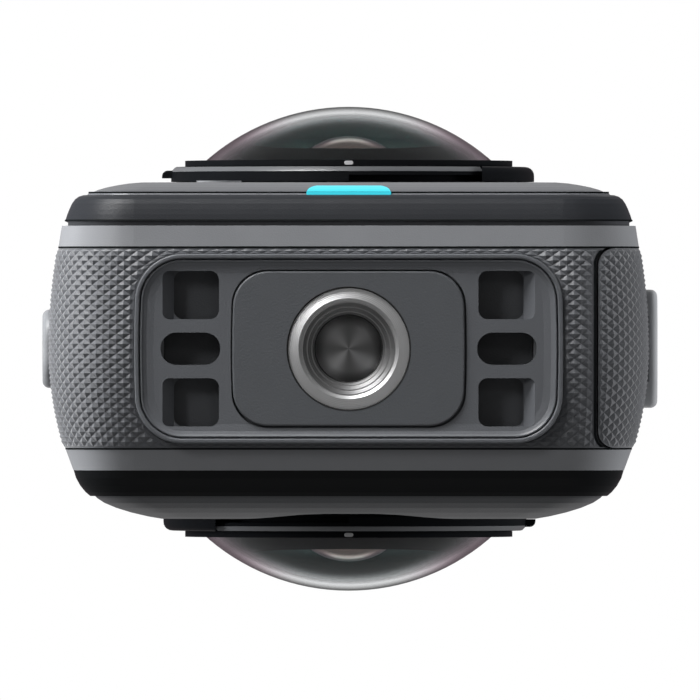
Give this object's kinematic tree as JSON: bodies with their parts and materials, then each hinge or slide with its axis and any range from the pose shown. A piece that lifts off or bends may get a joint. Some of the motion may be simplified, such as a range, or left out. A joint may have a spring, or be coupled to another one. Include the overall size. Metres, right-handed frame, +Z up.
{
  "type": "360 degree camera",
  "caption": "Upright bar shaped 360 degree camera with back to back dome lenses, knurled grip wrap, front screen, removable battery, socket door and threaded tripod base.",
  "frame": {"origin": "middle of the base, on the lowest plane of the base rim, where the camera stands", "axes": "+Z up along the body, +X to the right of the screen, -Y out of the screen and the front lens"},
  "size_m": [0.0476, 0.0384, 0.1243],
  "materials": {
    "body_metal": "satin",
    "knurled_rubber": "matte",
    "plate_grey": "satin",
    "shell_black": "satin",
    "panel_grey": "satin",
    "black_rubber": "matte",
    "button_grey": "satin",
    "grille_black": "matte",
    "screen": "gloss",
    "display": "satin",
    "light": "satin",
    "rim_metal": "satin",
    "base_metal": "satin",
    "pad_rubber": "matte",
    "insert_steel": "satin",
    "fastener_steel": "satin",
    "lens_black": "satin",
    "dome_glass": "gloss",
    "lens_glass": "gloss",
    "board_green": "satin",
    "inner_plastic": "matte",
    "battery_shell": "matte",
    "contact_brass": "satin",
    "socket_steel": "satin",
    "card_black": "satin",
    "spreader": "satin"
  },
  "bodies": {
    "camera_body": {"base_pad": "pad_rubber", "base_plate": "base_metal", "base_rim": "rim_metal", "base_screws": "fastener_steel", "battery_bay": "inner_plastic", "battery_contacts": "contact_brass", "card_socket": "socket_steel", "chassis": "body_metal", "display_module": "display", "frame_gasket": "black_rubber", "frame_screws": "fastener_steel", "front_frame": "body_metal", "front_inner_lens": "lens_glass", "front_lens_barrel": "lens_black", "front_lens_seat": "lens_black", "front_mic_grille": "grille_black", "front_plate": "plate_grey", "front_sensor_board": "board_green", "front_switch_board": "board_green", "grip_base": "knurled_rubber", "grip_wrap": "knurled_rubber", "heat_spreader": "spreader", "lens_bracket": "lens_black", "light_bar": "light", "main_board": "board_green", "microphones": "inner_plastic", "rear_inner_lens": "lens_glass", "rear_lens_barrel": "lens_black", "rear_lens_seat": "lens_black", "rear_mic_grille": "grille_black", "rear_panel": "panel_grey", "rear_sensor_board": "board_green", "rear_shell": "shell_black", "screen_glass": "screen", "side_switch_board": "board_green", "speaker": "inner_plastic", "speaker_grille": "grille_black", "tripod_insert": "insert_steel", "usb_board": "board_green", "usb_hinge_pin": "fastener_steel", "usb_socket": "socket_steel"},
    "power_button": {"power_button": "button_grey"},
    "quick_button": {"quick_button": "button_grey"},
    "record_button": {"record_button": "button_grey"},
    "lens_button": {"lens_button": "button_grey"},
    "usb_door": {"usb_door": "knurled_rubber", "usb_door_seal": "black_rubber"},
    "usb_door_latch": {"usb_door_latch": "button_grey"},
    "battery_pack": {"battery": "battery_shell", "battery_cover": "knurled_rubber", "battery_seal": "black_rubber"},
    "battery_latch": {"battery_latch": "button_grey"},
    "memory_card": {"memory_card": "card_black"},
    "front_lens_lock": {"front_lens_lock": "lens_black"},
    "front_lens_guard": {"front_lens_cell": "lens_black", "front_lens_dome": "dome_glass"},
    "rear_lens_lock": {"rear_lens_lock": "lens_black"},
    "rear_lens_guard": {"rear_lens_cell": "lens_black", "rear_lens_dome": "dome_glass"}
  },
  "joints": [
    {"name": "power_button_press", "type": "slide", "parent": "camera_body", "child": "power_button", "axis": [-1, 0, 0], "range_m": [0, 0.0003], "stiffness_N_per_m": 2000, "springref_m": -0.0004},
    {"name": "quick_button_press", "type": "slide", "parent": "camera_body", "child": "quick_button", "axis": [-1, 0, 0], "range_m": [0, 0.0003], "stiffness_N_per_m": 2000, "springref_m": -0.0004},
    {"name": "record_button_press", "type": "slide", "parent": "camera_body", "child": "record_button", "axis": [0, 1, 0], "range_m": [0, 0.0003], "stiffness_N_per_m": 2000, "springref_m": -0.0004},
    {"name": "lens_button_press", "type": "slide", "parent": "camera_body", "child": "lens_button", "axis": [0, 1, 0], "range_m": [0, 0.0003], "stiffness_N_per_m": 2000, "springref_m": -0.0004},
    {"name": "usb_door_swing", "type": "hinge", "parent": "camera_body", "child": "usb_door", "pos_m": [0.0217, 0, 0.033], "axis": [0, -1, 0], "range_deg": [0, 95]},
    {"name": "usb_door_latch_slide", "type": "slide", "parent": "usb_door", "child": "usb_door_latch", "axis": [0, 0, 1], "range_m": [0, 0.0014], "stiffness_N_per_m": 200, "springref_m": -0.002},
    {"name": "battery_slide", "type": "slide", "parent": "camera_body", "child": "battery_pack", "axis": [-1, 0, 0], "range_m": [0, 0.036]},
    {"name": "battery_latch_slide", "type": "slide", "parent": "battery_pack", "child": "battery_latch", "axis": [0, 0, 1], "range_m": [0, 0.0025], "stiffness_N_per_m": 300, "springref_m": -0.002},
    {"name": "memory_card_push", "type": "slide", "parent": "camera_body", "child": "memory_card", "axis": [1, 0, 0], "range_m": [0, 0.0006], "stiffness_N_per_m": 300, "springref_m": -0.0005},
    {"name": "front_lens_lock_twist", "type": "hinge", "parent": "camera_body", "child": "front_lens_lock", "pos_m": [0, -0.0138, 0.103], "axis": [0, -1, 0], "range_deg": [0, 30]},
    {"name": "front_lens_guard_lift", "type": "slide", "parent": "front_lens_lock", "child": "front_lens_guard", "axis": [0, -1, 0], "range_m": [0, 0.02]},
    {"name": "rear_lens_lock_twist", "type": "hinge", "parent": "camera_body", "child": "rear_lens_lock", "pos_m": [0, 0.0138, 0.103], "axis": [0, 1, 0], "range_deg": [0, 30]},
    {"name": "rear_lens_guard_lift", "type": "slide", "parent": "rear_lens_lock", "child": "rear_lens_guard", "axis": [0, 1, 0], "range_m": [0, 0.02]}
  ]
}
